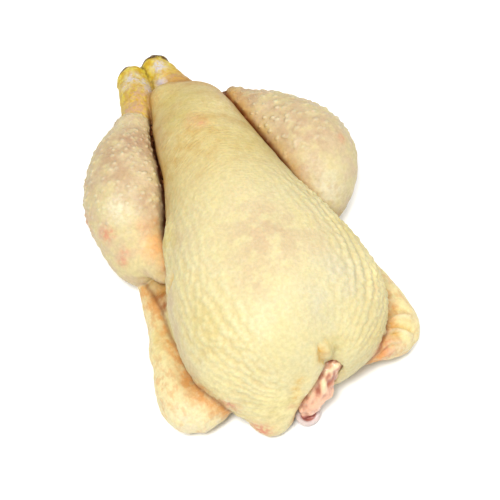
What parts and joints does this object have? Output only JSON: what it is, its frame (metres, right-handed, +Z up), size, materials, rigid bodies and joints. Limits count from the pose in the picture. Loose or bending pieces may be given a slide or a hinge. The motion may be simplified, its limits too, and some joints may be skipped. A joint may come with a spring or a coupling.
{
  "type": "whole raw chicken",
  "caption": "Whole raw corn-fed chicken, plucked, lying on its back: broad breast, folded legs with bare hock ends, wings tucked along the sides, raw neck showing.",
  "frame": {"origin": "middle of the outer box, on the surface the bird lies on", "axes": "+Y from the neck towards the leg ends, +Z up through the breast, +X to the right of a viewer at the neck end"},
  "size_m": [0.1906, 0.2896, 0.101],
  "materials": {
    "skin": "moist pimpled poultry skin, pale cream yellow, pinker on the legs",
    "flesh": "wet raw flesh, salmon pink with pale yellow fat"
  },
  "bodies": {
    "root": {"skin_covered_bird": "skin", "neck_flesh": "flesh"}
  },
  "joints": []
}
